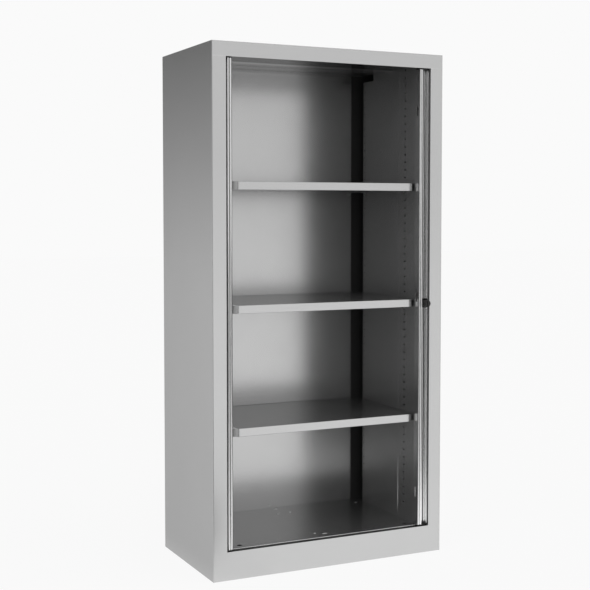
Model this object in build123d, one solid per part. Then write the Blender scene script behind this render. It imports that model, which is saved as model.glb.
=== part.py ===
from build123d import *
from math import cos, hypot, pi, radians, sin
import os

# Metal cupboard with two side-opening slatted shutters, shown open.
# Millimetres. X to the right, Y to the back, Z up; the origin is on the floor, at the middle of the overall
# width and depth, knob included.
# A depth called "back" is measured from the front face of the carcass.

# Carcass
WIDTH = 990.0
DEPTH = 535.0
HEIGHT = 2000.0
SHEET = 1.0
BEND = 2.0
FIT = 0.2
STILE = 55.0
TOP_RAIL = 55.0
PLINTH_HEIGHT = 107.5
STILE_FOOT = 100.0
HEM = 12.0
REAR_RETURN = 25.0
CORNER_RETURN = 4.5

# Floor, ceiling and the two pans that carry them
FLOOR_TOP = 110.0
FLOOR_RISE = 24.0
FLOOR_EDGE = 0.8
CEILING_INSET = 43.0
CEILING_DROP = 18.0
PAN_FLANGE = 15.0
TRAY_REACH = 22.0
TRAY_FRONT = 25.0
SWAGE_WIDTH = 8.0
SWAGE_DEPTH = 3.0
SWAGE_INSETS = (203.0, 80.0)

# Back sheet and the rear corner posts
BACK_FACE_INSET = 6.0
BACK_FIELD_INSET = 127.0
POST_SHEET = 1.5
POST_SIDE_LEG = 51.0

# Slotted inner sides
INNER_INSET = 97.0
INNER_FRONT = 45.0
INNER_REAR_INSET = 60.0
INNER_FRONT_RETURN = 20.0
INNER_REAR_RETURN = 12.0
INNER_FLANGE = 15.0
NOTCH_INSET = 148.0
NOTCH_HEIGHT = 25.0
RIB_BACK = 170.0
RIB_WIDTH = 6.0
RIB_DEPTH = 1.5
RIB_LOW = 125.0
RIB_TOP_INSET = 75.0
SLOT_PITCH = 31.0
SLOT_TOP_INSET = 50.0
SLOT_FIRST = 182.5
SLOT_LENGTH = 11.0
SLOT_HEIGHT = 4.5
FRONT_SLOTS_BACK = 124.0
REAR_SLOTS_INSET = 75.0

# Shelves and their clips
SHELF_SIDE_PLAY = 3.0
SHELF_FRONT = 40.0
SHELF_REAR_INSET = 10.0
SHELF_LIP = 30.5
SHELF_RETURN = 12.0
SHELF_CORNER = 25.0
SHELF_EDGE = 0.8
SHELF_SLOTS = {"lower_shelf": 11, "middle_shelf": 26, "upper_shelf": 41}
CLIP_WIDTH = 9.0
CLIP_SHEET = 1.5
CLIP_TONGUE = 14.0
CLIP_RISE = 6.5
CLIP_LEAF = 8.0
CLIP_HOOK = 3.0

# Shutter path: along the front, round the corner and back along the side
RUN_BACK = 16.0
TURN_INSET = 32.0
TURN_RADIUS = 22.0
TRACK_REAR_INSET = 61.0
TRACK_WIDTH = 11.2
TRACK_WALL = 1.6
TRACK_FLOOR = 2.0
TRACK_HEIGHT = 14.0

# Slatted curtains
SLAT_PITCH = 15.0
SLAT_THICKNESS = 1.8
SLAT_NECK = 0.8
BEAD_RADIUS = 1.4
SOCKET_CLEARANCE = 0.4
SOCKET_WALL = 0.95
LEAF_BITE = 0.1
SOCKET_OPEN_FROM = 123.0
SOCKET_OPEN_TO = 202.0
SOCKET_SIDES = 4
BEAD_SIDES = 4
FULL_TURN = 360.0
SLAT_END_CLEARANCE = 1.5

# Leading profiles, measured from the nose towards the hidden edge
RIGHT_TUCK = 48.0
LEFT_TUCK = 26.0
MEETING_GAP = 1.0
PROFILE_FRONT = 4.0
PROFILE_REAR = 38.0
PROFILE_WALL = 1.8
PROFILE_LOW = 114.0
PROFILE_TOP_INSET = 60.0
NOSE_WIDTH = 18.0
NOSE_ROUND = 2.5
GROOVE_FROM = 7.9
GROOVE_TO = 11.1
GROOVE_DEPTH = 3.0
PULL_WIDTH = 29.0
PULL_FLOOR = 28.0
PULL_EDGE = 12.0
NECK_LENGTH = 3.2
GLIDER_PLATE = 2.5
GLIDER_CLEARANCE = 0.4
GLIDER_INSET = 0.5

# Lock
KNOB_FROM_NOSE = 34.0
KNOB_HEIGHT = 1010.0
KNOB_RADIUS = 13.0
KNOB_INNER = 4.5
KNOB_OUTER = -15.0
KNOB_CHAMFER = 1.5
KNOB_SIDES = 32
KNOB_FLUTES = 8
FLUTE_RADIUS = 2.2
FLUTE_SIDES = 8
GRIP_WIDTH = 5.0
GRIP_HEIGHT = 3.0
GRIP_INSET = 3.0
HOUSING_RADIUS = 11.0
HOUSING_SIDES = 16
HOUSING_PLATE = 2.0
HOUSING_HALF_HEIGHT = 18.0
HOUSING_PLAY = 0.5
SPINDLE_RADIUS = 6.0
SPINDLE_SEAT = 10.0
RUNNING = 0.08
CRANK = 5.0
CRANK_PIN = 1.2
PIN_SIDES = 6
CRANK_DEPTH = 2.0
CAM_PLAY = 0.4
PIN_END = 0.5
CAM_RADIUS = 7.5
CAM_SIDES = 12
BAR_FRONT = 33.0
BAR_SHEET = 2.0
BAR_FROM = 2.4
BAR_TO = 13.0
BAR_END = 12.0
BAR_SLOT_PLAY = 0.4
TONGUE_HEIGHT = 12.0
LOWER_PIVOT = 260.8
MIDDLE_PIVOT_RISE = 40.8
UPPER_PIVOT_INSET = 208.2
HOOK_FROM_NOSE = 9.0
HOOK_PIN = 2.5
HOOK_PLAY = 0.3
PIN_HEAD = 3.2
SPACER_RADIUS = 4.6
HOOK_EYE = 6.6
HOOK_SHEET = 4.0
HOOK_BACK = 21.0
HOOK_REACH = 20.0
HOOK_ARM = 4.0
HOOK_TOOTH = 8.0
TOOTH_LENGTH = 5.0
LATCH_SLOT_WIDTH = 10.0
LATCH_SLOT_HEIGHT = 40.0
LATCH_SLOT_ABOVE = 5.2

# Levelling feet and fasteners
FOOT_INSET = 130.0
FRONT_FOOT_BACK = 60.0
REAR_FOOT_INSET = 80.0
FOOT_LIFT = 1.0
FOOT_TRAVEL = 15.0
PAD_RADIUS = 20.0
PAD_HEIGHT = 8.0
PAD_SIDES = 24
STUD_RADIUS = 5.0
STUD_SIDES = 12
STUD_TOP = 99.0
DRIVER_SLOT = 1.5
DRIVER_DEPTH = 2.0
NUT_RADIUS = 9.8
NUT_HEIGHT = 10.0
ACCESS_RADIUS = 9.5
ACCESS_SIDES = 20
SCREW_RADIUS = 2.0
SCREW_HEAD = 4.0
SCREW_HEAD_HEIGHT = 2.2
SCREW_LENGTH = 7.0
SCREW_HOLE = 2.1
SCREW_SIDES = 8
SCREWS_FRONT = 100.0
FLOOR_SCREW_INSET = 115.0
CEILING_SCREW_INSET = 175.0

# Sizes that follow from the ones above
HALF = WIDTH / 2
INSIDE = HALF - SHEET
OPENING = HALF - STILE
OPENING_TOP = HEIGHT - TOP_RAIL
MIDDLE_DEPTH = (DEPTH + KNOB_OUTER) / 2
PAN_TOP = FLOOR_TOP - FLOOR_RISE
CEILING = HEIGHT - CEILING_INSET
HEAD_BOTTOM = CEILING + CEILING_DROP
SWAGE_BACK = [DEPTH - inset for inset in SWAGE_INSETS]
BACK_FACE = DEPTH - BACK_FACE_INSET
BACK_FIELD = HALF - BACK_FIELD_INSET
INNER_FACE = HALF - INNER_INSET
INNER_REAR = DEPTH - INNER_REAR_INSET
TRAY_HALF_WIDTH = INNER_FACE + TRAY_REACH
NOTCH_BACK = DEPTH - NOTCH_INSET
RIB_HIGH = HEIGHT - RIB_TOP_INSET
SLOT_COUNT = int((HEIGHT - SLOT_TOP_INSET - SLOT_FIRST) // SLOT_PITCH) + 1
REAR_SLOTS_BACK = DEPTH - REAR_SLOTS_INSET
SHELF_HALF_WIDTH = INNER_FACE - SHELF_SIDE_PLAY
SHELF_REAR = DEPTH - SHELF_REAR_INSET
TURN_START = HALF - TURN_INSET
TRACK_REAR = DEPTH - TRACK_REAR_INSET
RIGHT_NOSE = OPENING - RIGHT_TUCK
LEFT_NOSE = OPENING - LEFT_TUCK
PROFILE_HIGH = HEIGHT - PROFILE_TOP_INSET
FOOT_X = HALF - FOOT_INSET
REAR_FOOT_BACK = DEPTH - REAR_FOOT_INSET
FLOOR_SCREWS_BACK = (SCREWS_FRONT, DEPTH - FLOOR_SCREW_INSET)
CEILING_SCREWS_BACK = (SCREWS_FRONT, DEPTH - CEILING_SCREW_INSET)
SKIN_BACK = DEPTH - SHEET
POST_BACK = SKIN_BACK - SHEET - POST_SHEET
POST_FRONT = SKIN_BACK - SHEET - POST_SIDE_LEG
RAIL_HALF = HALF - CORNER_RETURN - FIT
BEAD_FROM_NOSE = NOSE_WIDTH + PULL_WIDTH + NECK_LENGTH
SOCKET_INNER = BEAD_RADIUS + SOCKET_CLEARANCE
SOCKET_OUTER = SOCKET_INNER + SOCKET_WALL
TURN_LENGTH = TURN_RADIUS * pi / 2
PATH_LENGTH = TURN_LENGTH + TRACK_REAR - RUN_BACK - TURN_RADIUS - BEAD_RADIUS
SLAT_COUNT = int((PATH_LENGTH + TURN_START - LEFT_NOSE - BEAD_FROM_NOSE) // SLAT_PITCH)
GROOVE_WIDTH = TRACK_WIDTH - 2 * TRACK_WALL
BOTTOM_RUN = PAN_TOP + TRACK_FLOOR
TOP_RUN = HEAD_BOTTOM - TRACK_FLOOR
SLAT_LOW = BOTTOM_RUN + SLAT_END_CLEARANCE
SLAT_HIGH = TOP_RUN - SLAT_END_CLEARANCE
CRANK_OFFSET = CRANK * sin(radians(45))
BAR_TRAVEL = 2 * CRANK_OFFSET
KNOB_X = RIGHT_NOSE + KNOB_FROM_NOSE
HOOK_PIVOTS = {
    "lower_hook": LOWER_PIVOT,
    "middle_hook": KNOB_HEIGHT + MIDDLE_PIVOT_RISE,
    "upper_hook": HEIGHT - UPPER_PIVOT_INSET,
}
PAN_FOLDS = (SHEET, SHEET + BEND, BACK_FACE - BEND, BACK_FACE)
FLOOR_FOLDS = (TRAY_FRONT, TRAY_FRONT + BEND, BACK_FACE - BEND, BACK_FACE)


def at_back(back):
    """Y of a place that lies this far behind the carcass's front face."""
    return back - MIDDLE_DEPTH


def block(x0, x1, back0, back1, z0, z1):
    """Rectangular block between two corners, its depths measured from the front face."""
    centre = ((x0 + x1) / 2, at_back((back0 + back1) / 2), (z0 + z1) / 2)
    return Pos(*centre) * Box(abs(x1 - x0), abs(back1 - back0), abs(z1 - z0))


def pane(x0, x1, y0, y1):
    """Flat rectangle between two corners of a section."""
    return Pos((x0 + x1) / 2, (y0 + y1) / 2) * Rectangle(abs(x1 - x0), abs(y1 - y0))


def rod(x, z, radius, back0, back1):
    """Round bar along Y."""
    axis = Plane(origin=(x, at_back(back0), z), x_dir=(1, 0, 0), z_dir=(0, 1, 0))
    return extrude(axis * Circle(radius), amount=back1 - back0)


def flat_sided_rod(x, z, radius, sides, back0, back1):
    """Bar along Y with a few flat sides, used for what is small."""
    axis = Plane(origin=(x, at_back(back0), z), x_dir=(1, 0, 0), z_dir=(0, 1, 0))
    return extrude(axis * RegularPolygon(radius, sides), amount=back1 - back0)


def prism(x, back, radius, sides, z0, z1):
    """Upright bar with a few flat sides, used for what is small."""
    return extrude(Plane((x, at_back(back), z0)) * RegularPolygon(radius, sides), amount=z1 - z0)


def in_cells(sheet, cells):
    """A folded sheet as touching solids, one in each cell, so that each wide field is a plain plate."""
    return [sheet & cell for cell in cells]


def folded_upright(points, thickness, z0, z1):
    """Sheet folded along a line in plan and standing between two heights; depths are from the front face."""
    line = FilletPolyline(*[(x, at_back(back)) for x, back in points], radius=BEND - thickness / 2)
    return extrude(Plane((0, 0, z0)) * trace(line, thickness), amount=z1 - z0)


def folded_rail(points, half_length):
    """Sheet folded along a line of depths and heights and running from side to side."""
    line = FilletPolyline(*[(at_back(back), z) for back, z in points], radius=BEND - SHEET / 2)
    return extrude(Plane.YZ.offset(-half_length) * trace(line, SHEET), amount=2 * half_length)


def on_left(piece):
    """The same piece, or each of its solids, for the other side."""
    if isinstance(piece, list):
        return [on_left(solid) for solid in piece]
    return mirror(piece, about=Plane.YZ)


def right_side_panel():
    """Outer side with the front stile, its hem and the rear return folded from one sheet."""
    mid = SHEET / 2
    line = [
        (OPENING, mid),
        (HALF - mid, mid),
        (HALF - mid, DEPTH - mid),
        (HALF - REAR_RETURN, DEPTH - mid),
    ]
    sheet = folded_upright(line, SHEET, 0, HEIGHT)
    hem = block(OPENING, OPENING + HEM, SHEET, 2 * SHEET, STILE_FOOT, OPENING_TOP)
    stile_end = HALF - CORNER_RETURN
    below = block(OPENING - 1, stile_end, -1, SHEET, -1, STILE_FOOT)
    above = block(OPENING - 1, stile_end, -1, SHEET, OPENING_TOP, HEIGHT + 1)
    folds = (0, BEND, DEPTH - BEND, DEPTH)
    cells = [block(OPENING, HALF, near, far, 0, HEIGHT) for near, far in zip(folds, folds[1:])]
    return in_cells(sheet + hem - below - above, cells)


def top_panel():
    """Top sheet with the front rail, its hem and the rear flange."""
    mid = SHEET / 2
    line = [
        (mid, OPENING_TOP),
        (mid, HEIGHT - mid),
        (SKIN_BACK + mid, HEIGHT - mid),
        (SKIN_BACK + mid, HEIGHT - REAR_RETURN),
    ]
    sheet = folded_rail(line, INSIDE)
    hem = block(-OPENING, OPENING, SHEET, 2 * SHEET, OPENING_TOP, OPENING_TOP + HEM)
    sheet = sheet + hem
    for side in (-1, 1):
        sheet = sheet - block(side * RAIL_HALF, side * (HALF + 1), -1, BEND, 0, HEIGHT + 1)
        rear_corner = block(
            side * (HALF - REAR_RETURN - FIT), side * (HALF + 1), DEPTH - BEND, DEPTH + 1, 0, HEIGHT + 1
        )
        sheet = sheet - rear_corner
    return sheet


def plinth_panel():
    """Front plinth with a foot return and a hem along the opening."""
    mid = SHEET / 2
    line = [(mid, PLINTH_HEIGHT), (mid, mid), (REAR_RETURN, mid)]
    sheet = folded_rail(line, RAIL_HALF)
    hem = block(-OPENING + FIT, OPENING - FIT, SHEET, 2 * SHEET, PLINTH_HEIGHT - HEM, PLINTH_HEIGHT)
    sheet = sheet + hem
    for side in (-1, 1):
        sheet = sheet - block(
            side * (OPENING - FIT), side * HALF, -1, SHEET + FIT, STILE_FOOT - FIT, PLINTH_HEIGHT + 1
        )
    return sheet


def tray(half_width, front, rear, low, high, opens_up):
    """Sheet tray with four flanges and bent corners, opening upwards or downwards."""
    outer = block(-half_width, half_width, front, rear, low, high)
    outer = fillet(outer.edges().filter_by(Axis.Z), BEND)
    hollow_low = low + SHEET if opens_up else low - 1
    hollow_high = high + 1 if opens_up else high - SHEET
    hollow = block(
        -half_width + SHEET, half_width - SHEET, front + SHEET, rear - SHEET, hollow_low, hollow_high
    )
    hollow = fillet(hollow.edges().filter_by(Axis.Z), BEND - SHEET)
    return outer - hollow


def tray_cells(half_width, folds, low, high):
    """Cells of a tray: one for each side flange, and one for each strip between the given depths."""
    inner = half_width - BEND
    cells = [block(side * inner, side * half_width, folds[0], folds[-1], low, high) for side in (-1, 1)]
    return cells + [block(-inner, inner, near, far, low, high) for near, far in zip(folds, folds[1:])]


def foot_places():
    """Plan places of the four levelling feet, by name."""
    return {
        "front_left_foot": (-FOOT_X, FRONT_FOOT_BACK),
        "front_right_foot": (FOOT_X, FRONT_FOOT_BACK),
        "rear_left_foot": (-FOOT_X, REAR_FOOT_BACK),
        "rear_right_foot": (FOOT_X, REAR_FOOT_BACK),
    }


def base_pan():
    """Lower pan between the sides, bored for the four studs."""
    low = PAN_TOP - PAN_FLANGE
    pan = tray(INSIDE, SHEET, BACK_FACE, low, PAN_TOP, opens_up=False)
    bores = []
    for x, back in foot_places().values():
        bores.append(prism(x, back, STUD_RADIUS + FIT, STUD_SIDES, low, PAN_TOP + 1))
    return in_cells(pan - bores, tray_cells(INSIDE, PAN_FOLDS, low, PAN_TOP))


def head_pan():
    """Upper pan between the sides, above the ceiling and the top tracks."""
    high = HEAD_BOTTOM + PAN_FLANGE
    pan = tray(INSIDE, SHEET, BACK_FACE, HEAD_BOTTOM, high, opens_up=True)
    return in_cells(pan, tray_cells(INSIDE, PAN_FOLDS, HEAD_BOTTOM, high))


def screw_x():
    """Distance of the inner sides' fixing screws from the middle."""
    return INNER_FACE + SHEET + (INNER_FLANGE - SHEET) / 2


def floor_panel():
    """Raised floor with holes for a screwdriver above each foot."""
    floor = tray(TRAY_HALF_WIDTH, TRAY_FRONT, BACK_FACE, PAN_TOP, FLOOR_TOP, opens_up=False)
    rim = floor.edges().filter_by(Axis.X).group_by(Axis.Z)[-1].sort_by(Axis.Y)[0]
    floor = chamfer(rim, FLOOR_EDGE)
    holes = []
    for x, back in foot_places().values():
        holes.append(prism(x, back, ACCESS_RADIUS, ACCESS_SIDES, PAN_TOP, FLOOR_TOP + 1))
    for side in (-1, 1):
        for back in FLOOR_SCREWS_BACK:
            holes.append(prism(side * screw_x(), back, SCREW_HOLE, SCREW_SIDES, PAN_TOP + 1, FLOOR_TOP + 1))
    return in_cells(floor - holes, tray_cells(TRAY_HALF_WIDTH, FLOOR_FOLDS, PAN_TOP, FLOOR_TOP))


def ceiling_panel():
    """Ceiling with two pressed swages from side to side."""
    ceiling = tray(TRAY_HALF_WIDTH, TRAY_FRONT, BACK_FACE, CEILING, HEAD_BOTTOM, opens_up=True)
    folds = [TRAY_FRONT, TRAY_FRONT + BEND]
    for back in SWAGE_BACK:
        low = back - SWAGE_WIDTH / 2
        high = back + SWAGE_WIDTH / 2
        end = INNER_FACE - INNER_FRONT_RETURN
        ceiling = ceiling + block(
            -end - SHEET, end + SHEET, low - SHEET, high + SHEET, CEILING, CEILING + SWAGE_DEPTH + SHEET
        )
        ceiling = ceiling - block(-end, end, low, high, CEILING - 1, CEILING + SWAGE_DEPTH)
        folds += [low - SHEET, high + SHEET]
    folds += [BACK_FACE - BEND, BACK_FACE]
    holes = []
    for side in (-1, 1):
        for back in CEILING_SCREWS_BACK:
            holes.append(prism(side * screw_x(), back, SCREW_HOLE, SCREW_SIDES, CEILING - 1, CEILING + BEND))
    return in_cells(ceiling - holes, tray_cells(TRAY_HALF_WIDTH, folds, CEILING, HEAD_BOTTOM))


def back_panel():
    """Rear sheet: a raised field between two joggles that lap behind the corner posts."""
    skin = SKIN_BACK - SHEET / 2
    field = BACK_FACE + SHEET / 2
    edge = HALF - BEND - FIT
    line = [(-edge, skin), (-BACK_FIELD, skin), (-BACK_FIELD, field)]
    line = line + [(-x, back) for x, back in reversed(line)]
    outline = Polyline(*[(x, at_back(back)) for x, back in line])
    sheet = extrude(Plane((0, 0, FIT)) * trace(outline, SHEET), amount=HEIGHT - BEND - 2 * FIT)
    walls = [-edge, -BACK_FIELD - SHEET / 2, -BACK_FIELD + SHEET / 2]
    walls = walls + [-x for x in reversed(walls)]
    cells = [block(x0, x1, BACK_FACE, SKIN_BACK, 0, HEIGHT) for x0, x1 in zip(walls, walls[1:])]
    return in_cells(sheet, cells)


def right_corner_post():
    """Black folded post that closes the rear corner of the shutter's cavity."""
    mid = POST_SHEET / 2
    line = [
        (BACK_FIELD + SHEET / 2 + FIT, POST_BACK + mid),
        (INSIDE - mid, POST_BACK + mid),
        (INSIDE - mid, POST_FRONT),
    ]
    sheet = folded_upright(line, POST_SHEET, PAN_TOP, HEAD_BOTTOM)
    fold = INSIDE - BEND
    cells = [
        block(BACK_FIELD, fold, POST_BACK, SKIN_BACK, PAN_TOP, HEAD_BOTTOM),
        block(fold, INSIDE, POST_FRONT, SKIN_BACK, PAN_TOP, HEAD_BOTTOM),
    ]
    return in_cells(sheet, cells)


def slot_height(number):
    """Height of a slot's middle, counted from the bottom."""
    return SLOT_FIRST + SLOT_PITCH * number


def clip_slots():
    """The two columns of slots that the shelf clips hook into."""
    start = INNER_FACE - 1
    long = SLOT_LENGTH / 2
    tall = SLOT_HEIGHT / 2
    slots = []
    for back, count in ((FRONT_SLOTS_BACK, SLOT_COUNT), (REAR_SLOTS_BACK, SLOT_COUNT - 1)):
        for number in range(count):
            z = slot_height(number)
            slots.append(block(start, start + BEND + 1, back - long, back + long, z - tall, z + tall))
    return slots


def right_inner_panel():
    """Inner side with its two columns of slots, an upright rib and returned edges."""
    mid = SHEET / 2
    line = [
        (INNER_FACE + INNER_FRONT_RETURN, INNER_FRONT + mid),
        (INNER_FACE + mid, INNER_FRONT + mid),
        (INNER_FACE + mid, INNER_REAR - mid),
        (INNER_FACE + INNER_REAR_RETURN, INNER_REAR - mid),
    ]
    panel = folded_upright(line, SHEET, FLOOR_TOP, CEILING)
    flange_start = INNER_FACE + SHEET
    flange_end = INNER_FACE + INNER_FLANGE
    flange_front = INNER_FRONT + BEND
    web_low = FLOOR_TOP + SHEET
    web_high = CEILING - SHEET
    panel = panel + block(flange_start, flange_end, flange_front, INNER_REAR - BEND, FLOOR_TOP, web_low)
    panel = panel + block(flange_start, flange_end, flange_front, NOTCH_BACK, web_high, CEILING)
    rib_front = RIB_BACK - RIB_WIDTH / 2
    rib_rear = RIB_BACK + RIB_WIDTH / 2
    panel = panel + block(
        flange_start, flange_start + RIB_DEPTH, rib_front - SHEET, rib_rear + SHEET, RIB_LOW, RIB_HIGH
    )
    panel = panel - block(
        INNER_FACE - 1, INNER_FACE + RIB_DEPTH, rib_front, rib_rear, RIB_LOW + SHEET, RIB_HIGH - SHEET
    )
    panel = panel - block(
        INNER_FACE - 1, flange_end + 1, NOTCH_BACK, INNER_REAR + 1, CEILING - NOTCH_HEIGHT, CEILING + 1
    )
    holes = []
    for back in FLOOR_SCREWS_BACK:
        holes.append(prism(screw_x(), back, SCREW_HOLE, SCREW_SIDES, FLOOR_TOP - 1, FLOOR_TOP + BEND))
    for back in CEILING_SCREWS_BACK:
        holes.append(prism(screw_x(), back, SCREW_HOLE, SCREW_SIDES, CEILING - BEND, CEILING + 1))
    folds = [flange_front, rib_front - SHEET, rib_rear + SHEET, INNER_REAR - BEND]
    cells = [
        block(INNER_FACE, INNER_FACE + INNER_FRONT_RETURN, INNER_FRONT, folds[0], FLOOR_TOP, CEILING),
        block(INNER_FACE, INNER_FACE + INNER_REAR_RETURN, folds[-1], INNER_REAR, FLOOR_TOP, CEILING),
        block(INNER_FACE, flange_end, folds[0], folds[-1], FLOOR_TOP, web_low),
        block(INNER_FACE, flange_end, folds[0], folds[-1], web_high, CEILING),
    ]
    for near, far in zip(folds, folds[1:]):
        cells.append(block(INNER_FACE, flange_end, near, far, web_low, web_high))
    return in_cells(panel - clip_slots() - holes, cells)


def shelf_outline(inset):
    """Plan of a shelf, drawn in by an inset, with rounded front corners."""
    front = at_back(SHELF_FRONT + inset)
    rear = at_back(SHELF_REAR - inset)
    half = SHELF_HALF_WIDTH - inset
    plan = pane(-half, half, front, rear)
    corners = plan.vertices().group_by(Axis.Y)[0]
    return fillet(corners, SHELF_CORNER - inset)


def shelf_top(name):
    """Height of a shelf's upper face: its lip rests on clips above the slots named for it."""
    return slot_height(SHELF_SLOTS[name]) + CLIP_RISE + SHELF_LIP


def shelf(name):
    """Pressed shelf: a plate with a deep lip all round, returned inwards at its foot."""
    top = shelf_top(name)
    low = top - SHELF_LIP
    body = extrude(Plane((0, 0, low)) * shelf_outline(0), amount=SHELF_LIP)
    body = chamfer(body.faces().filter_by(Axis.Z).edges(), SHELF_EDGE)
    hollow = extrude(Plane((0, 0, low + SHEET)) * shelf_outline(SHEET), amount=SHELF_LIP - 2 * SHEET)
    mouth = extrude(Plane((0, 0, low - 1)) * shelf_outline(SHELF_RETURN), amount=SHELF_LIP / 2)
    return body - hollow - mouth


def shelf_clip(back, slot_z):
    """Bent clip for the right side: a hook in the slot, a leaf on the panel and a tongue under the shelf."""
    y0 = back - CLIP_WIDTH / 2
    y1 = back + CLIP_WIDTH / 2
    face = INNER_FACE - CLIP_SHEET
    tongue_top = slot_z + CLIP_RISE
    leaf = block(face, INNER_FACE, y0, y1, slot_z - CLIP_LEAF, tongue_top)
    tongue = block(INNER_FACE - CLIP_TONGUE, face, y0, y1, tongue_top - CLIP_SHEET, tongue_top)
    hook_top = slot_z + SLOT_HEIGHT / 2 - FIT
    through = block(INNER_FACE, INNER_FACE + SHEET + FIT, y0, y1, hook_top - CLIP_SHEET * 2, hook_top)
    nose_start = INNER_FACE + SHEET + FIT
    nose = block(nose_start, nose_start + CLIP_SHEET, y0, y1, hook_top - CLIP_HOOK - CLIP_SHEET * 2, hook_top)
    return leaf + tongue + through + nose


def shelf_clips():
    """Four clips under each shelf."""
    clips = []
    for name in SHELF_SLOTS:
        z = slot_height(SHELF_SLOTS[name])
        for back in (FRONT_SLOTS_BACK, REAR_SLOTS_BACK):
            clip = shelf_clip(back, z)
            clips += [clip, on_left(clip)]
    return clips


def inner_panel_screws():
    """Small screws through the inner sides' flanges, into the floor and the ceiling."""
    screws = []
    for side in (-1, 1):
        x = side * screw_x()
        for back in FLOOR_SCREWS_BACK:
            seat = FLOOR_TOP + SHEET
            shank = prism(x, back, SCREW_RADIUS, SCREW_SIDES, seat - SCREW_LENGTH, seat)
            screws.append(shank + prism(x, back, SCREW_HEAD, SCREW_SIDES, seat, seat + SCREW_HEAD_HEIGHT))
        for back in CEILING_SCREWS_BACK:
            seat = CEILING - SHEET
            shank = prism(x, back, SCREW_RADIUS, SCREW_SIDES, seat, seat + SCREW_LENGTH)
            screws.append(shank + prism(x, back, SCREW_HEAD, SCREW_SIDES, seat - SCREW_HEAD_HEIGHT, seat))
    return screws


def straight_track(low, groove_low):
    """Channel along the front; its groove opens upwards or downwards."""
    end = TURN_START - FIT
    half = TRACK_WIDTH / 2
    body = block(-end, end, RUN_BACK - half, RUN_BACK + half, low, low + TRACK_HEIGHT)
    half = GROOVE_WIDTH / 2
    groove = block(
        -end - 1, end + 1, RUN_BACK - half, RUN_BACK + half, groove_low, groove_low + TRACK_HEIGHT
    )
    return body - groove


def corner_line():
    """Centre line of the right corner and side run."""
    start = (TURN_START, at_back(RUN_BACK))
    turn = RadiusArc(start, (TURN_START + TURN_RADIUS, at_back(RUN_BACK + TURN_RADIUS)), -TURN_RADIUS)
    side = Line((TURN_START + TURN_RADIUS, at_back(RUN_BACK + TURN_RADIUS)),
                (TURN_START + TURN_RADIUS, at_back(TRACK_REAR)))
    return [turn, side]


def corner_track(low, groove_low):
    """Channel round the corner and back along the right side."""
    body = extrude(Plane((0, 0, low)) * trace(corner_line(), TRACK_WIDTH), amount=TRACK_HEIGHT)
    groove = extrude(Plane((0, 0, groove_low)) * trace(corner_line(), GROOVE_WIDTH), amount=TRACK_HEIGHT)
    return body - groove


def latch_slots(nose_from, nose_to):
    """Openings in a profile's closing face, one for each hook."""
    half = LATCH_SLOT_WIDTH / 2
    slots = []
    for pivot in HOOK_PIVOTS.values():
        high = pivot + LATCH_SLOT_ABOVE
        slots.append(
            block(nose_from, nose_to, HOOK_BACK - half, HOOK_BACK + half, high - LATCH_SLOT_HEIGHT, high)
        )
    return slots


def profile_section():
    """Extrusion: a hollow nose with a grooved front, a finger pull and a bead for the curtain."""
    wall = PROFILE_WALL
    nose_inner = NOSE_WIDTH - wall
    chamber_front = PROFILE_FRONT + GROOVE_DEPTH + wall
    nose = pane(0, NOSE_WIDTH, PROFILE_FRONT, PROFILE_REAR)
    nose = fillet(nose.vertices().group_by(Axis.X)[0], NOSE_ROUND)
    nose = nose - pane(wall, nose_inner, chamber_front, PROFILE_REAR - wall)
    nose = nose - pane(GROOVE_FROM, GROOVE_TO, PROFILE_FRONT - 1, PROFILE_FRONT + GROOVE_DEPTH)
    strip_front = PROFILE_FRONT + wall
    nose = nose - pane(wall + 1, GROOVE_FROM - wall, strip_front, chamber_front + 1)
    nose = nose - pane(GROOVE_TO + wall, nose_inner, strip_front, chamber_front + 1)
    outer = NOSE_WIDTH + PULL_WIDTH
    pull = pane(NOSE_WIDTH - wall / 2, outer, PULL_FLOOR, PULL_FLOOR + wall)
    pull = pull + pane(outer - wall, outer, PULL_EDGE, PULL_FLOOR + wall)
    neck = pane(outer - wall / 2, BEAD_FROM_NOSE, RUN_BACK - SLAT_NECK / 2, RUN_BACK + SLAT_NECK / 2)
    bead = Pos(BEAD_FROM_NOSE, RUN_BACK) * Circle(BEAD_RADIUS)
    return nose + pull + neck + bead


def profile_at(nose):
    """Right-hand profile with its latch slots, with its nose at the given X."""
    section = Plane((nose, at_back(0), PROFILE_LOW)) * profile_section()
    body = extrude(section, amount=PROFILE_HIGH - PROFILE_LOW)
    return body - latch_slots(nose - 1, nose + PROFILE_WALL + FIT)


def right_leading_profile():
    """Right profile, also opened for the lock's spindle and for the bar's tongue."""
    body = profile_at(RIGHT_NOSE)
    bore = rod(KNOB_X, KNOB_HEIGHT, SPINDLE_RADIUS + FIT, PULL_FLOOR - 1, PULL_FLOOR + PROFILE_WALL + 1)
    wall_start = RIGHT_NOSE + NOSE_WIDTH - PROFILE_WALL - FIT
    play = TONGUE_HEIGHT / 2 + 1
    window = block(
        wall_start,
        RIGHT_NOSE + NOSE_WIDTH + FIT,
        BAR_FRONT - 1,
        BAR_FRONT + BAR_SHEET + 1,
        KNOB_HEIGHT - CRANK_OFFSET - play,
        KNOB_HEIGHT + CRANK_OFFSET + play,
    )
    return body - bore - window


def glider_at(nose, plate_low, shoe_low, shoe_high):
    """End cap of a right-hand profile with the shoe that runs in the track."""
    end = nose + NOSE_WIDTH + PULL_WIDTH - 1
    front = PROFILE_FRONT + GLIDER_INSET
    rear = PROFILE_REAR - GLIDER_INSET
    plate = block(nose + GLIDER_INSET, end, front, rear, plate_low, plate_low + GLIDER_PLATE)
    half = GROOVE_WIDTH / 2 - GLIDER_CLEARANCE
    shoe = block(nose + 1, end, RUN_BACK - half, RUN_BACK + half, shoe_low, shoe_high)
    return plate + shoe


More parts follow.
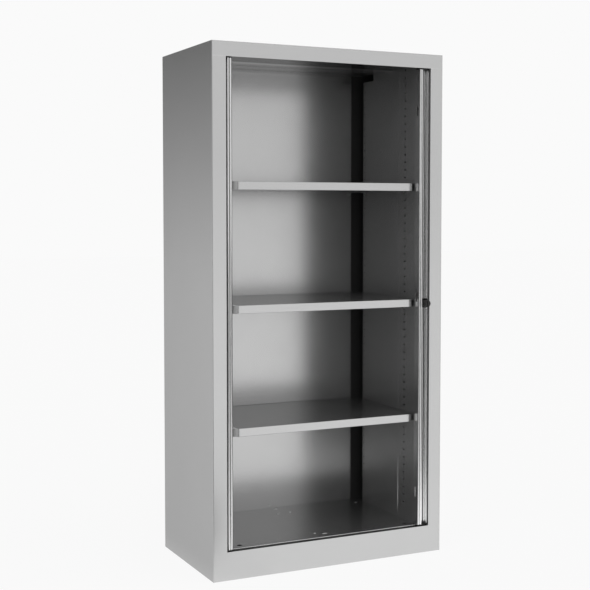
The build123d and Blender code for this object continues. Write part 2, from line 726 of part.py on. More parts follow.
def bottom_glider(nose):
    """Lower end cap and shoe."""
    plate_low = PROFILE_LOW - GLIDER_PLATE
    return glider_at(nose, plate_low, BOTTOM_RUN + SLAT_END_CLEARANCE, plate_low)


def top_glider(nose):
    """Upper end cap and shoe."""
    plate_top = PROFILE_HIGH + GLIDER_PLATE
    return glider_at(nose, PROFILE_HIGH, plate_top, TOP_RUN - SLAT_END_CLEARANCE)


def path_point(distance):
    """Point of the right shutter's path, counted from the start of the turn."""
    if distance <= 0:
        return TURN_START + distance, at_back(RUN_BACK)
    if distance < TURN_LENGTH:
        angle = distance / TURN_RADIUS
        x = TURN_START + TURN_RADIUS * sin(angle)
        return x, at_back(RUN_BACK + TURN_RADIUS * (1 - cos(angle)))
    return TURN_START + TURN_RADIUS, at_back(RUN_BACK + TURN_RADIUS + distance - TURN_LENGTH)


def slat_section(length):
    """One slat from hinge to hinge: a socket, a flat leaf, a neck and a bead, in few flat sides."""
    step = (SOCKET_OPEN_FROM + FULL_TURN - SOCKET_OPEN_TO) / SOCKET_SIDES
    angles = [radians(SOCKET_OPEN_TO + step * number) for number in range(SOCKET_SIDES + 1)]
    outer = [(SOCKET_OUTER * cos(a), SOCKET_OUTER * sin(a)) for a in angles]
    inner = [(SOCKET_INNER * cos(a), SOCKET_INNER * sin(a)) for a in reversed(angles)]
    socket = make_face(Polyline(*outer, *inner, close=True))
    leaf_start = SOCKET_INNER + LEAF_BITE
    leaf_end = length - SOCKET_OUTER - SOCKET_CLEARANCE
    leaf = pane(leaf_start, leaf_end, -SLAT_THICKNESS / 2, SLAT_THICKNESS / 2)
    neck = pane(leaf_end, length, -SLAT_NECK / 2, SLAT_NECK / 2)
    bead = Pos(length, 0) * RegularPolygon(BEAD_RADIUS, BEAD_SIDES)
    return socket + leaf + neck + bead


def curtain(nose):
    """Slats of a right-hand curtain, hinged on the profile's bead and following the path."""
    start = nose + BEAD_FROM_NOSE - TURN_START
    slats = []
    for number in range(SLAT_COUNT):
        x0, y0 = path_point(start + SLAT_PITCH * number)
        x1, y1 = path_point(start + SLAT_PITCH * (number + 1))
        length = hypot(x1 - x0, y1 - y0)
        place = Plane(origin=(x0, y0, SLAT_LOW), x_dir=(x1 - x0, y1 - y0, 0), z_dir=(0, 0, 1))
        slats.append(extrude(place * slat_section(length), amount=SLAT_HIGH - SLAT_LOW))
    return slats


def lock_housing():
    """Black tube and plate that hold the spindle in the finger pull."""
    front = KNOB_INNER + HOUSING_PLAY
    tube = flat_sided_rod(KNOB_X, KNOB_HEIGHT, HOUSING_RADIUS, HOUSING_SIDES, front, PULL_FLOOR)
    plate = block(
        KNOB_X - HOUSING_RADIUS,
        KNOB_X + HOUSING_RADIUS,
        PULL_FLOOR - HOUSING_PLATE,
        PULL_FLOOR,
        KNOB_HEIGHT - HOUSING_HALF_HEIGHT,
        KNOB_HEIGHT + HOUSING_HALF_HEIGHT,
    )
    bore = rod(KNOB_X, KNOB_HEIGHT, SPINDLE_RADIUS + RUNNING, 0, PULL_FLOOR + 1)
    return tube + plate - bore


def lock_knob():
    """Black thumb knob with a fluted rim and a raised grip across its face."""
    grip_seat = KNOB_OUTER + GRIP_HEIGHT
    body = flat_sided_rod(KNOB_X, KNOB_HEIGHT, KNOB_RADIUS, KNOB_SIDES, grip_seat, KNOB_INNER)
    body = chamfer(body.faces().sort_by(Axis.Y)[0].edges(), KNOB_CHAMFER)
    body = body + block(
        KNOB_X - GRIP_WIDTH / 2,
        KNOB_X + GRIP_WIDTH / 2,
        KNOB_OUTER,
        grip_seat,
        KNOB_HEIGHT - KNOB_RADIUS + GRIP_INSET,
        KNOB_HEIGHT + KNOB_RADIUS - GRIP_INSET,
    )
    flutes = []
    for number in range(KNOB_FLUTES):
        angle = 2 * pi * (number + 0.5) / KNOB_FLUTES
        x = KNOB_X + (KNOB_RADIUS + FLUTE_RADIUS / 2) * cos(angle)
        z = KNOB_HEIGHT + (KNOB_RADIUS + FLUTE_RADIUS / 2) * sin(angle)
        flutes.append(flat_sided_rod(x, z, FLUTE_RADIUS, FLUTE_SIDES, KNOB_OUTER, KNOB_INNER - FLUTE_RADIUS))
    socket = rod(KNOB_X, KNOB_HEIGHT, SPINDLE_RADIUS, KNOB_INNER - SPINDLE_SEAT, KNOB_INNER + 1)
    return body - flutes - socket


def lock_spindle():
    """Spindle with the cam and crank pin that lift the bar."""
    cam_front = PULL_FLOOR + PROFILE_WALL + CAM_PLAY
    cam_rear = cam_front + CRANK_DEPTH
    shaft = rod(KNOB_X, KNOB_HEIGHT, SPINDLE_RADIUS, KNOB_INNER - SPINDLE_SEAT, cam_rear)
    cam = flat_sided_rod(KNOB_X, KNOB_HEIGHT, CAM_RADIUS, CAM_SIDES, cam_front, cam_rear)
    pin_x = KNOB_X - CRANK_OFFSET
    pin_z = KNOB_HEIGHT - CRANK_OFFSET
    pin = flat_sided_rod(pin_x, pin_z, CRANK_PIN, PIN_SIDES, cam_rear, BAR_FRONT + BAR_SHEET + PIN_END)
    return shaft + cam + pin


def crank_slot(centre_x, centre_z):
    """Slot across the bar for a crank pin that starts below its centre line."""
    reach = CRANK_PIN + BAR_SLOT_PLAY
    x0 = centre_x - CRANK - reach
    x1 = centre_x - CRANK_OFFSET + reach
    z = centre_z - CRANK_OFFSET
    return block(x0, x1, BAR_FRONT - 1, BAR_FRONT + BAR_SHEET + 1, z - reach, z + reach)


def locking_bar():
    """Flat bar in the profile's nose, with a tongue to the lock and a cross slot for each hook."""
    pivots = sorted(HOOK_PIVOTS.values())
    rear = BAR_FRONT + BAR_SHEET
    bar = block(
        RIGHT_NOSE + BAR_FROM, RIGHT_NOSE + BAR_TO, BAR_FRONT, rear, pivots[0] - BAR_END, pivots[-1] + BAR_END
    )
    tongue_z = KNOB_HEIGHT - CRANK_OFFSET
    tongue = block(
        RIGHT_NOSE + BAR_TO,
        KNOB_X + CAM_RADIUS / 2,
        BAR_FRONT,
        rear,
        tongue_z - TONGUE_HEIGHT / 2,
        tongue_z + TONGUE_HEIGHT / 2,
    )
    bar = bar + tongue
    slots = [crank_slot(RIGHT_NOSE + HOOK_FROM_NOSE, pivot) for pivot in pivots]
    slots.append(crank_slot(KNOB_X, KNOB_HEIGHT))
    return bar - slots


def hook(pivot_z):
    """Hook that hangs down when open, with its eye, its tooth and the pin that the bar moves."""
    x = RIGHT_NOSE + HOOK_FROM_NOSE
    front = HOOK_BACK - HOOK_SHEET / 2
    rear = HOOK_BACK + HOOK_SHEET / 2
    eye = flat_sided_rod(x, pivot_z, HOOK_EYE, CAM_SIDES, front, rear)
    arm = block(x - HOOK_ARM, x + HOOK_ARM, front, rear, pivot_z - HOOK_REACH, pivot_z)
    tooth = block(x - HOOK_TOOTH, x, front, rear, pivot_z - HOOK_REACH, pivot_z - HOOK_REACH + TOOTH_LENGTH)
    pin_end = BAR_FRONT + BAR_SHEET + PIN_END
    pin = flat_sided_rod(x - CRANK_OFFSET, pivot_z - CRANK_OFFSET, CRANK_PIN, PIN_SIDES, rear, pin_end)
    bore = rod(x, pivot_z, HOOK_PIN + RUNNING, front - 1, rear + 1)
    return eye + arm + tooth - bore + pin


def hook_pins():
    """Headed pins on hexagonal spacers in the profile's front wall, one for each hook."""
    x = RIGHT_NOSE + HOOK_FROM_NOSE
    wall = PROFILE_FRONT + GROOVE_DEPTH + PROFILE_WALL
    front = HOOK_BACK - HOOK_SHEET / 2 - HOOK_PLAY
    rear = HOOK_BACK + HOOK_SHEET / 2 + HOOK_PLAY
    pins = []
    for pivot in HOOK_PIVOTS.values():
        shank = rod(x, pivot, HOOK_PIN, front, rear)
        spacer = flat_sided_rod(x, pivot, SPACER_RADIUS, PIN_SIDES, wall, front)
        head = flat_sided_rod(x, pivot, PIN_HEAD, PIN_SIDES, rear, rear + SHEET)
        pins.append(shank + spacer + head)
    return pins


def foot(x, back):
    """Levelling foot: a round pad on a long stud with a driver slot at its top."""
    pad_top = FOOT_LIFT + PAD_HEIGHT
    pad = prism(x, back, PAD_RADIUS, PAD_SIDES, FOOT_LIFT, pad_top)
    stud = prism(x, back, STUD_RADIUS, STUD_SIDES, pad_top, STUD_TOP)
    half = DRIVER_SLOT / 2
    end = STUD_RADIUS + 1
    slot = block(x - end, x + end, back - half, back + half, STUD_TOP - DRIVER_DEPTH, STUD_TOP + 1)
    return pad + stud - slot


def foot_nuts():
    """Weld nuts under the base pan, one for each foot."""
    nuts = []
    top = PAN_TOP - SHEET
    for x, back in foot_places().values():
        nut = prism(x, back, NUT_RADIUS, PIN_SIDES, top - NUT_HEIGHT, top)
        nuts.append(nut - prism(x, back, STUD_RADIUS + RUNNING, STUD_SIDES, 0, PAN_TOP))
    return nuts


def build():
    """Every sub-part, by name; a list holds like pieces that share one name."""
    pieces = {
        "right_side_panel": right_side_panel(),
        "top_panel": top_panel(),
        "plinth_panel": plinth_panel(),
        "base_pan": base_pan(),
        "head_pan": head_pan(),
        "floor_panel": floor_panel(),
        "ceiling_panel": ceiling_panel(),
        "back_panel": back_panel(),
        "right_corner_post": right_corner_post(),
        "right_inner_panel": right_inner_panel(),
        "right_bottom_track": corner_track(PAN_TOP, BOTTOM_RUN),
        "right_top_track": corner_track(HEAD_BOTTOM - TRACK_HEIGHT, TOP_RUN - TRACK_HEIGHT),
    }
    for name in list(pieces):
        if name.startswith("right_"):
            pieces[name.replace("right_", "left_")] = on_left(pieces[name])
    pieces["front_bottom_track"] = straight_track(PAN_TOP, BOTTOM_RUN)
    pieces["front_top_track"] = straight_track(HEAD_BOTTOM - TRACK_HEIGHT, TOP_RUN - TRACK_HEIGHT)
    for name in SHELF_SLOTS:
        pieces[name] = shelf(name)
    pieces["shelf_clips"] = shelf_clips()
    pieces["inner_panel_screws"] = inner_panel_screws()
    for name, (x, back) in foot_places().items():
        pieces[name] = foot(x, back)
    pieces["foot_nuts"] = foot_nuts()
    pieces["right_leading_profile"] = right_leading_profile()
    pieces["left_leading_profile"] = on_left(profile_at(LEFT_NOSE))
    pieces["right_bottom_glider"] = bottom_glider(RIGHT_NOSE)
    pieces["left_bottom_glider"] = on_left(bottom_glider(LEFT_NOSE))
    pieces["right_top_glider"] = top_glider(RIGHT_NOSE)
    pieces["left_top_glider"] = on_left(top_glider(LEFT_NOSE))
    pieces["right_curtain"] = curtain(RIGHT_NOSE)
    pieces["left_curtain"] = [on_left(slat) for slat in curtain(LEFT_NOSE)]
    pieces["lock_housing"] = lock_housing()
    pieces["lock_knob"] = lock_knob()
    pieces["lock_spindle"] = lock_spindle()
    pieces["locking_bar"] = locking_bar()
    for name, pivot in HOOK_PIVOTS.items():
        pieces[name] = hook(pivot)
    pieces["hook_pins"] = hook_pins()
    return pieces


os.makedirs("parts", exist_ok=True)
for node, piece in build().items():
    solids = piece if isinstance(piece, list) else [piece]
    shapes = [solid for part in solids for solid in part.solids()]
    group = Compound(label=node, children=shapes)
    export_step(group, f"parts/{node}.step")
print("right travel", RIGHT_NOSE - MEETING_GAP, "left travel", LEFT_NOSE - MEETING_GAP)
print("bar travel", round(BAR_TRAVEL, 4), "foot travel", FOOT_TRAVEL)
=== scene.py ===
from math import atan2, cos, pi, radians, sin

import bpy
from mathutils import Matrix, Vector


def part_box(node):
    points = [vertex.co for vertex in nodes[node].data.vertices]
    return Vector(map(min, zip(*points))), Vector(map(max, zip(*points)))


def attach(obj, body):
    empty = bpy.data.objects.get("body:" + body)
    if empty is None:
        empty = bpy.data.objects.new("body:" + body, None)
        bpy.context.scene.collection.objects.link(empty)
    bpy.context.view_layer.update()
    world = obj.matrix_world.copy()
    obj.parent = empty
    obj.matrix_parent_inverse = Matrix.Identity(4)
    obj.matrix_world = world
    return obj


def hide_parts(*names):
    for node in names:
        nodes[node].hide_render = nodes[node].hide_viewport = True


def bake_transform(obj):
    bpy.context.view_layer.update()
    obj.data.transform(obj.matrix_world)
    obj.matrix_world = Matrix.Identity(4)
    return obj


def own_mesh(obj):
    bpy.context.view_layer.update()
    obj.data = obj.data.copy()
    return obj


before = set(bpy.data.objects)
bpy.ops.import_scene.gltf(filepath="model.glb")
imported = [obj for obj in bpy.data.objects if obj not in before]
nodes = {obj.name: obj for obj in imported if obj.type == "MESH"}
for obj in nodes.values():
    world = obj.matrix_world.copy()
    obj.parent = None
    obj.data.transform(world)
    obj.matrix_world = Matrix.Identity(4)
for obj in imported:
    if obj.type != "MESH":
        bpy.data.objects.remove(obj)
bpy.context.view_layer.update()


# Camera
# It stands left of the cupboard at chest height and looks slightly down, as in the photograph.
# The frame is shifted down a little, so that the uprights stay nearly upright.
look_down = 3.02
look_right = 25.81
camera_data = bpy.data.cameras.new("camera")
camera_data.sensor_width = 36.0
camera_data.lens = 72.28
camera_data.shift_y = -0.0365
camera = bpy.data.objects.new("camera", camera_data)
camera.location = (-2.1100, -4.2932, 1.3800)
camera.rotation_euler = (radians(90 - look_down), 0, radians(-look_right))
bpy.context.scene.collection.objects.link(camera)
bpy.context.scene.camera = camera
bpy.context.scene.view_settings.view_transform = "Standard"


# Carcass sheets
# Folded mild steel sheet with a metallic grey powder coat, baked on after the carcass is welded.
# The coat has a fine orange peel and small changes of gloss, and a painted highlight along its edges.
class Wire:
    """A shader socket that takes part in Python's sums and products."""

    def __init__(self, finish, socket):
        self.finish = finish
        self.socket = socket

    def joined(self, operation, first, second):
        return self.finish.node("Math", {0: first, 1: second}, {"operation": operation})

    def __add__(self, other):
        return self.joined("ADD", self, other)

    def __radd__(self, other):
        return self.joined("ADD", other, self)

    def __sub__(self, other):
        return self.joined("SUBTRACT", self, other)

    def __rsub__(self, other):
        return self.joined("SUBTRACT", other, self)

    def __mul__(self, other):
        return self.joined("MULTIPLY", self, other)

    def __rmul__(self, other):
        return self.joined("MULTIPLY", other, self)


class Finish:
    """The nodes of a material or a world, built up in the order of the real coats."""

    def __init__(self, owner):
        self.owner = owner
        owner.use_nodes = True
        owner.node_tree.nodes.clear()

    def node(self, kind, sockets=None, settings=None, out=0):
        """A new node, as the wire of one of its outputs; its settings are set before its sockets."""
        made = self.owner.node_tree.nodes.new("ShaderNode" + kind)
        for key, value in (settings or {}).items():
            setattr(made, key, value)
        for key, value in (sockets or {}).items():
            if isinstance(value, Wire):
                self.owner.node_tree.links.new(value.socket, made.inputs[key])
            else:
                made.inputs[key].default_value = value
        return Wire(self, made.outputs[out]) if made.outputs else None

    def place(self):
        return self.node("TexCoord", out="Object")

    def coordinate(self, axis):
        """Where a point lies along an axis of the cupboard, in metres."""
        return self.node("SeparateXYZ", {"Vector": self.place()}, out=axis)

    def noise(self, scale, detail=3.0, stretch=(1, 1, 1)):
        spread = self.node("Mapping", {"Vector": self.place(), "Scale": stretch})
        return self.node("TexNoise", {"Vector": spread, "Scale": scale, "Detail": detail})

    def shade(self, factor, off, on):
        """A colour between two. A Mix node's sockets share their names, so its colours go by number."""
        return self.node("Mix", {"Factor": factor, 6: off, 7: on}, {"data_type": "RGBA"}, out=2)

    def bump(self, height, strength, distance):
        return self.node("Bump", {"Height": height, "Strength": strength, "Distance": distance})

    def ramp(self, value, start, end):
        """0 to 1 as a value goes from start to end."""
        return self.node("MapRange", {"Value": value, "From Min": start, "From Max": end})

    def strip(self, value, middle, half, core):
        """1 in the core of a strip and 0 past its half width; core is a share of that width squared."""
        off = value - middle
        return self.ramp(off * off, half ** 2, half ** 2 * core)

    def edges(self, reach, start, end):
        """1 along the edges of a piece and 0 on its faces; a lower start leaves out blunt edges."""
        eased = self.node("Bevel", {"Radius": reach}, {"samples": 4})
        facing = self.node("NewGeometry", out="Normal")
        product = {"operation": "DOT_PRODUCT"}
        return self.ramp(self.node("VectorMath", {0: eased, 1: facing}, product, out="Value"), start, end)

    def surface(self, sockets):
        shader = self.node("BsdfPrincipled", sockets)
        self.node("OutputMaterial", {"Surface": shader})
        return self.owner


def grey(level):
    return (level, level, level, 1.0)


def coat(names, material):
    """Give CAD nodes a finish."""
    for name in names:
        mesh = nodes[name].data
        mesh.materials.clear()
        mesh.materials.append(material)


def both(name):
    """The names of a left and a right piece."""
    return ["left_" + name, "right_" + name]


coat_metallic = 0.92


def powder_coat(name):
    """A new finish with the sockets of the grey coat, with a painted highlight along its edges."""
    paint = Finish(bpy.data.materials.new(name))
    coat_tone = paint.shade(paint.noise(3.0, 2.0), grey(0.610), grey(0.640))
    return paint, {
        "Base Color": paint.shade(paint.edges(0.0015, 0.98, 0.88), coat_tone, grey(0.80)),
        "Metallic": coat_metallic,
        "Specular Tint": grey(0.45),
        "Roughness": 0.21 + paint.noise(14.0) * 0.05,
        "Normal": paint.bump(paint.noise(900.0, 2.0), 0.05, 0.0002),
    }


sheet, sockets = powder_coat("cabinet_paint")
coat(["top_panel", "plinth_panel", "base_pan", "head_pan"], sheet.surface(sockets))

# Around the punched slots of the inner panels a dark ring of painted shade is added, so that the slots read
# as dark holes.
front_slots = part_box("plinth_panel")[0].y + 0.124
rear_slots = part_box("back_panel")[1].y - 0.075
column_half = 0.012
column_core = 0.7
inner, sockets = powder_coat("inner_paint")
depth = inner.coordinate("Y")
in_column = inner.strip(depth, front_slots, column_half, column_core)
in_column = in_column + inner.strip(depth, rear_slots, column_half, column_core)
slot_rim_shade = in_column * inner.edges(0.0024, 0.85, 0.76)
sockets["Base Color"] = inner.shade(slot_rim_shade, sockets["Base Color"], grey(0.02))
coat(both("inner_panel"), inner.surface(sockets))

# The shelves' left corners get a painted flat grey and less metal, in place of the reflections on them.
shelf_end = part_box("upper_shelf")[0].x
corner_width = 0.016
corner_blend = 0.0048
shelf, sockets = powder_coat("shelf_paint")
painted_corner_reflection = shelf.ramp(shelf.coordinate("X"), shelf_end + corner_width + corner_blend, shelf_end + corner_width)
sockets["Base Color"] = shelf.shade(painted_corner_reflection, sockets["Base Color"], grey(0.50))
sockets["Metallic"] = coat_metallic - painted_corner_reflection * 0.80
coat(["lower_shelf", "middle_shelf", "upper_shelf"], shelf.surface(sockets))

# The shutter cavities get painted shade, near black: the side panels' inner faces and the back panel's outer
# strips.
cavity_shade_black = grey(0.01)
outer_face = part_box("right_side_panel")[1].x
inner_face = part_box("right_inner_panel")[0].x
rear_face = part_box("back_panel")[1].y
stile_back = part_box("right_side_panel")[0].y + 0.030
skin = 0.0006
side, sockets = powder_coat("side_paint")
across = side.coordinate("X")
in_shaded_cavity = side.ramp(across * across, (outer_face - skin / 2) ** 2, (outer_face - skin) ** 2)
in_shaded_cavity = in_shaded_cavity * side.ramp(side.coordinate("Y"), stile_back - skin, stile_back)
sockets["Base Color"] = side.shade(in_shaded_cavity, sockets["Base Color"], cavity_shade_black)
coat(both("side_panel"), side.surface(sockets))

back, sockets = powder_coat("back_paint")
across = back.coordinate("X")
in_shaded_cavity = back.ramp(across * across, (inner_face + skin) ** 2, (inner_face + 2 * skin) ** 2)
in_shaded_cavity = in_shaded_cavity * back.ramp(back.coordinate("Y"), rear_face - skin / 2, rear_face - skin)
sockets["Base Color"] = back.shade(in_shaded_cavity, sockets["Base Color"], cavity_shade_black)
coat(["back_panel"], back.surface(sockets))

# The ceiling's front strip gets painted shade. Its two pressed lines get a painted highlight and a painted
# shade, each given by its middle, its half width and its tone.
strip_back = -0.045
strip_blend = 0.015
line_core = 0.25
pressed_line_highlight_and_shade = ((-0.008, 0.030, 0.90), (0.168, 0.022, 0.45))
ceiling, sockets = powder_coat("ceiling_paint")
depth = ceiling.coordinate("Y")
painted_front_shade = ceiling.ramp(depth, strip_back + strip_blend, strip_back)
tone = ceiling.shade(painted_front_shade, sockets["Base Color"], grey(0.30))
for middle, half, level in pressed_line_highlight_and_shade:
    tone = ceiling.shade(ceiling.strip(depth, middle, half, line_core), tone, grey(level))
sockets["Base Color"] = tone
coat(["ceiling_panel"], ceiling.surface(sockets))

# The floor has a few pale scuffs, each given by its middle and half sizes, and a painted highlight along its
# front rim.
scuffs = (
    (-0.008, 0.239, 0.010, 0.008),
    (-0.036, 0.159, 0.004, 0.008),
    (0.024, 0.167, 0.004, 0.008),
    (-0.031, -0.174, 0.005, 0.006),
    (0.004, -0.192, 0.013, 0.005),
    (0.352, 0.190, 0.005, 0.008),
)
scuff_core = 0.6
rim_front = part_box("floor_panel")[0].y
rim_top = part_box("floor_panel")[1].z
tray, sockets = powder_coat("floor_paint")
across = tray.coordinate("X")
depth = tray.coordinate("Y")
scuffs_and_rim_highlight = tray.ramp(depth, rim_front + 0.0022, rim_front + 0.0010)
scuffs_and_rim_highlight = scuffs_and_rim_highlight * tray.ramp(tray.coordinate("Z"), rim_top - 0.0014, rim_top - 0.0008)
for middle_x, middle_y, half_x, half_y in scuffs:
    near_x = (across - middle_x) * (1 / half_x)
    near_y = (depth - middle_y) * (1 / half_y)
    scuffs_and_rim_highlight = scuffs_and_rim_highlight + tray.ramp(near_x * near_x + near_y * near_y, 1.0, scuff_core)
scuffs_and_rim_highlight = scuffs_and_rim_highlight.joined("MINIMUM", scuffs_and_rim_highlight, 1.0)
sockets["Base Color"] = tray.shade(scuffs_and_rim_highlight, sockets["Base Color"], grey(0.90))
sockets["Metallic"] = coat_metallic - scuffs_and_rim_highlight * coat_metallic
coat(["floor_panel"], tray.surface(sockets))


# Rear corner posts
# Folded steel posts that close the rear corners of the shutter cavities.
# They are set in after the carcass is coated; their near-black colour is painted shade for the dark rear
# corners.
post_shade_finish = Finish(bpy.data.materials.new("rear_corner_shade_black"))
rear_corner_shade_black = post_shade_finish.surface({
    "Base Color": post_shade_finish.shade(post_shade_finish.noise(40.0), grey(0.018), grey(0.028)),
    "Roughness": 0.55 + post_shade_finish.noise(20.0) * 0.15,
    "Normal": post_shade_finish.bump(post_shade_finish.noise(700.0), 0.1, 0.0004),
})
coat(both("corner_post"), rear_corner_shade_black)


# Tracks and gliders
# Moulded channels and shoes of black acetal, slightly glossy where the shutters rub.
# The channels are fixed to the pans, and the shoes close the ends of the leading profiles.
acetal = Finish(bpy.data.materials.new("black_acetal"))
black_acetal = acetal.surface({
    "Base Color": acetal.shade(acetal.noise(60.0), grey(0.005), grey(0.009)),
    "Roughness": 0.50 + acetal.noise(30.0) * 0.15,
    "Normal": acetal.bump(acetal.noise(500.0), 0.1, 0.0003),
})
coat(both("bottom_track") + both("top_track") + ["front_bottom_track", "front_top_track"], black_acetal)
coat(both("bottom_glider") + both("top_glider"), black_acetal)


# Leading profiles
# Satin anodised aluminium extrusions with shallow flutes and fine draw lines along them.
# Each pulls its curtain, and the right one holds the lock.
flute_pitch = 0.015136
flute_depth = 0.0030
flute_phase = 1.87
pitch_at_scale_one = pi / 10
alloy = Finish(bpy.data.materials.new("satin_aluminium"))
draw_lines = alloy.noise(700.0, 2.0, (1, 1, 0.004))
waves = {"Vector": alloy.place(), "Scale": pitch_at_scale_one / flute_pitch, "Phase Offset": flute_phase}
flutes = alloy.node("TexWave", waves, out="Fac")
satin_aluminium = alloy.surface({
    "Base Color": alloy.shade(draw_lines, grey(0.88), grey(0.96)),
    "Metallic": 1.0,
    "Roughness": 0.16 + draw_lines * 0.08,
    "Normal": alloy.bump(flutes, 1.0, flute_depth),
})
coat(both("leading_profile"), satin_aluminium)


# Lock
# A knob and a housing moulded in black resin, on the right profile. The spindle, the bar and the hooks behind
# them are zinc-plated steel.
resin = Finish(bpy.data.materials.new("black_resin"))
black_resin = resin.surface({
    "Base Color": resin.shade(resin.noise(80.0), grey(0.008), grey(0.014)),
    "Roughness": 0.30 + resin.noise(50.0) * 0.12,
    "Normal": resin.bump(resin.noise(900.0), 0.1, 0.0002),
})
coat(["lock_knob", "lock_housing"], black_resin)

zinc = Finish(bpy.data.materials.new("zinc_plate"))
flakes = zinc.noise(120.0, 4.0)
zinc_plate = zinc.surface({
    "Base Color": zinc.shade(flakes, grey(0.45), grey(0.62)),
    "Metallic": 1.0,
    "Roughness": 0.28 + flakes * 0.2,
    "Normal": zinc.bump(flakes, 0.1, 0.0003),
})
coat(["lock_spindle", "locking_bar", "lower_hook", "middle_hook", "upper_hook", "hook_pins"], zinc_plate)


# Fixings and feet
# Shelf clips, screws, nuts and levelling feet, of zinc-plated steel like the inner pieces of the lock.
# The clips hook into the slots, and the feet are turned through the holes of the floor.
coat(["shelf_clips", "inner_panel_screws", "foot_nuts"], zinc_plate)
coat(["front_left_foot", "front_right_foot", "rear_left_foot", "rear_right_foot"], zinc_plate)


# Slatted curtains
# Each is a chain of extruded grey slats, hinged one in the next, that hangs on its profile and runs in the
# tracks. At rest it lies along the side behind the inner panel, with its front run packed behind the stile.
# In the real shutter the front run draws out with the profile; here the curtain is only placed at rest, with
# its corner and side run fixed to the carcass.
slat_width = 0.015
slat_count = 31
leaf_thickness = 0.0018
leaf_gap = 0.0004
leaf_root = 0.9
hinge_radius = 0.0024
hinge_sides = 8
bead_radius = 0.0014
slat_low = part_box("right_curtain")[0].z
slat_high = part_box("right_curtain")[1].z
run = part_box("right_side_panel")[0].y + 0.016
turn_start = 0.463
turn_radius = 0.022
turn_length = turn_radius * pi / 2
corner_slats = 2
meeting_gap = 0.001
halvings = 30
vinyl = Finish(bpy.data.materials.new("grey_vinyl"))
grain = vinyl.noise(600.0, 2.0, (1, 1, 0.01))
grey_vinyl = vinyl.surface({
    "Base Color": vinyl.shade(vinyl.noise(50.0), grey(0.28), grey(0.32)),
    "Roughness": 0.42 + vinyl.noise(40.0) * 0.1,
    "Normal": vinyl.bump(grain, 0.1, 0.0003),
})


def deselect():
    if bpy.context.object and bpy.context.object.mode != "OBJECT":
        bpy.ops.object.mode_set(mode="OBJECT")
    bpy.ops.object.select_all(action="DESELECT")


def join(pieces, name):
    """Several objects as one, under a new name."""
    deselect()
    for piece in pieces:
        piece.select_set(True)
    bpy.context.view_layer.objects.active = pieces[0]
    bpy.ops.object.join()
    whole = bpy.context.object
    whole.name = name
    return whole


def settle(piece):
    """The piece's place goes into its mesh, so that its object sits at the origin."""
    deselect()
    piece.select_set(True)
    bpy.context.view_layer.objects.active = piece
    bpy.ops.object.transform_apply(location=True, rotation=True, scale=True)
    return piece


def copied(pattern, matrix):
    """A copy of a piece with its own mesh, moved by a matrix."""
    made = pattern.copy()
    made.data = pattern.data.copy()
    made.data.transform(matrix)
    bpy.context.scene.collection.objects.link(made)
    return made


def one_slat():
    """A slat from its hinge at the origin along X: a hinge tube and a flat leaf."""
    height = slat_high - slat_low
    middle = (slat_low + slat_high) / 2
    deselect()
    bpy.ops.mesh.primitive_cylinder_add(
        vertices=hinge_sides, radius=hinge_radius, depth=height, location=(0, 0, middle)
    )
    tube = settle(bpy.context.object)
    leaf_from = hinge_radius * leaf_root
    leaf_to = slat_width - hinge_radius - leaf_gap
    deselect()
    bpy.ops.mesh.primitive_cube_add(size=1, location=((leaf_from + leaf_to) / 2, 0, middle))
    leaf = bpy.context.object
    leaf.scale = (leaf_to - leaf_from, leaf_thickness, height)
    return join([tube, settle(leaf)], "slat")


def on_path(distance):
    """Place on the right-hand path, counted from the start of the turn, as an offset in X and Y."""
    if distance < turn_length:
        angle = max(distance, 0) / turn_radius
        return turn_start + turn_radius * sin(angle), run + turn_radius * (1 - cos(angle))
    return turn_start + turn_radius, run + turn_radius + distance - turn_length


def along(pattern, first, count, start):
    """Slats that follow the path, hinge by hinge."""
    made = []
    for number in range(first, first + count):
        near = on_path(start + slat_width * number)
        far = on_path(start + slat_width * (number + 1))
        turn = Matrix.Rotation(atan2(far[1] - near[1], far[0] - near[0]), 4, "Z")
        made.append(copied(pattern, Matrix.Translation((near[0], near[1], 0)) @ turn))
    return made


def packed(x, bead, travel, fixed):
    """Rest place of a point that lies at x when the shutter is closed, found by halving."""
    low, high = 0.0, 1.0
    for _ in range(halvings):
        middle = (low + high) / 2
        shift = travel * middle * middle * (3 - 2 * middle)
        if fixed - (fixed - bead) * middle - shift > x:
            low = middle
        else:
            high = middle
    return fixed - (fixed - bead) * low


def hang_curtain(side, sign, corner_first, fixed):
    """Front run, corner and side run of one curtain; the front run is held at fixed, near the corner."""
    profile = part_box(side + "_leading_profile")
    reach = max(abs(profile[0].x), abs(profile[1].x))
    nose = min(abs(profile[0].x), abs(profile[1].x))
    bead = reach - bead_radius
    travel = nose - meeting_gap
    pattern = one_slat()
    closed_bead = bead - travel
    count = int((fixed - closed_bead) / slat_width) + 1
    front = []
    for number in range(count):
        place = Matrix.Translation((closed_bead + slat_width * number, run, 0))
        front.append(copied(pattern, place))
    front = join(front, side + "_curtain_front")
    for vertex in front.data.vertices:
        vertex.co.x = packed(min(vertex.co.x, fixed), bead, travel, fixed)
    start = bead - turn_start
    straight = corner_first + corner_slats
    corner = join(along(pattern, corner_first, corner_slats, start), side + "_curtain_corner")
    stored = join(along(pattern, straight, slat_count - straight, start), side + "_curtain_side")
    bpy.data.objects.remove(pattern)
    for part in (front, corner, stored):
        if sign < 0:
            part.data.transform(Matrix.Diagonal((-1, 1, 1, 1)))
            part.data.flip_normals()
        part.data.materials.clear()
        part.data.materials.append(grey_vinyl)
        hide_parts(side + "_curtain")
    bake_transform(front)
    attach(corner, "carcass")
    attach(stored, "carcass")
    anchor = on_path(start + slat_width * straight)
    sign * anchor[0]
    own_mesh(stored)


hang_curtain("right", sign=1, corner_first=2, fixed=0.471)
hang_curtain("left", sign=-1, corner_first=1, fixed=0.476)


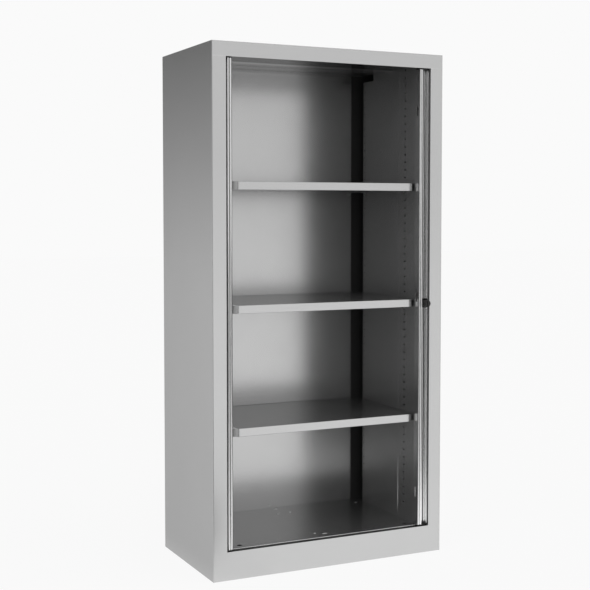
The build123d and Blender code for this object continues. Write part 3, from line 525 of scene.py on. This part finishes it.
# Floor and light
# A plain white floor that runs into a white room, with even, soft light and no lamps. Metal mirrors both as
# the camera sees them, apart from darker parts: the room ahead on the left and high up behind, and the floor
# in front on the left and far off on the right.
def either(finish, factor, off, on):
    """One shader, or another where the factor is 1."""
    return finish.node("MixShader", {0: factor, 1: off, 2: on})


def ray(finish, kind):
    """1 for the rays of one kind."""
    return finish.node("LightPath", out="Is " + kind + " Ray")


def lit(finish, level):
    """An even grey light, from a surface or from the room."""
    kind = "Background" if isinstance(finish.owner, bpy.types.World) else "Emission"
    return finish.node(kind, {"Color": grey(level), "Strength": 1.0})


backdrop = 0.956
floor_backdrop = backdrop * 1.02
floor_span = 60
floor_tone = 0.85
own_shade = 0.06
beside_tone = 0.86
shaded_tone = 0.06
slant = 0.44
slant_from, slant_to = -0.26, -1.30
left_edge = (-0.615, -0.69)
front_edge = (-0.30, -0.90)
far_edge = (0.15, 0.45)
bpy.ops.mesh.primitive_plane_add(size=floor_span, location=(0, 0, 0))
floor = bpy.context.object
floor.name = "floor"
ground = Finish(bpy.data.materials.new("pale_floor"))
across = ground.coordinate("X")
depth = ground.coordinate("Y")
nearness = depth.joined("MINIMUM", depth, slant_from)
nearness = nearness.joined("MAXIMUM", nearness, slant_to)
on_left = ground.ramp(across + nearness * slant, *left_edge)
in_front = ground.ramp(depth, *front_edge)
far_right = ground.ramp(across + depth, *far_edge) * in_front
plain = lit(ground, floor_backdrop)
shaded = lit(ground, shaded_tone)
left_part = either(ground, in_front, lit(ground, beside_tone), shaded)
mirrored = either(ground, on_left, either(ground, far_right, plain, shaded), left_part)
shown = either(ground, ray(ground, "Glossy"), plain, mirrored)
seen = ray(ground, "Camera") + ray(ground, "Glossy") + ray(ground, "Transmission")
diffuse = ground.node("BsdfDiffuse", {"Color": grey(floor_tone)})
ground.node("OutputMaterial", {"Surface": either(ground, seen * (1 - own_shade), diffuse, shown)})
floor.data.materials.append(ground.owner)

light_in_front = 1.1
light_behind = 0.25
mirror_in_front = 0.80
mirror_on_left = 0.06
mirror_low_behind = 0.95
mirror_high_behind = 0.17
behind_edge = (-0.3, 0.3)
height_edge = (-0.08, 0.16)
left_from = (0.20, -0.20)
left_to = (-0.82, -0.66)
room = Finish(bpy.data.worlds.new("room"))
bpy.context.scene.world = room.owner
direction = {"Vector": room.node("TexCoord", out="Generated")}
aside = room.node("SeparateXYZ", direction, out="X")
behind = room.ramp(room.node("SeparateXYZ", direction, out="Y"), *behind_edge)
above = room.ramp(room.node("SeparateXYZ", direction, out="Z"), *height_edge)
leftward = room.ramp(aside, *left_from) * room.ramp(aside, *left_to)
around = either(room, behind, lit(room, light_in_front), lit(room, light_behind))
ahead = either(room, leftward, lit(room, mirror_in_front), lit(room, mirror_on_left))
rear = either(room, above, lit(room, mirror_low_behind), lit(room, mirror_high_behind))
mirrored = either(room, behind, ahead, rear)
shown = either(room, ray(room, "Glossy"), lit(room, backdrop), mirrored)
seen = ray(room, "Camera") + ray(room, "Glossy") + ray(room, "Transmission")
room.node("OutputWorld", {"Surface": either(room, seen, around, shown)})
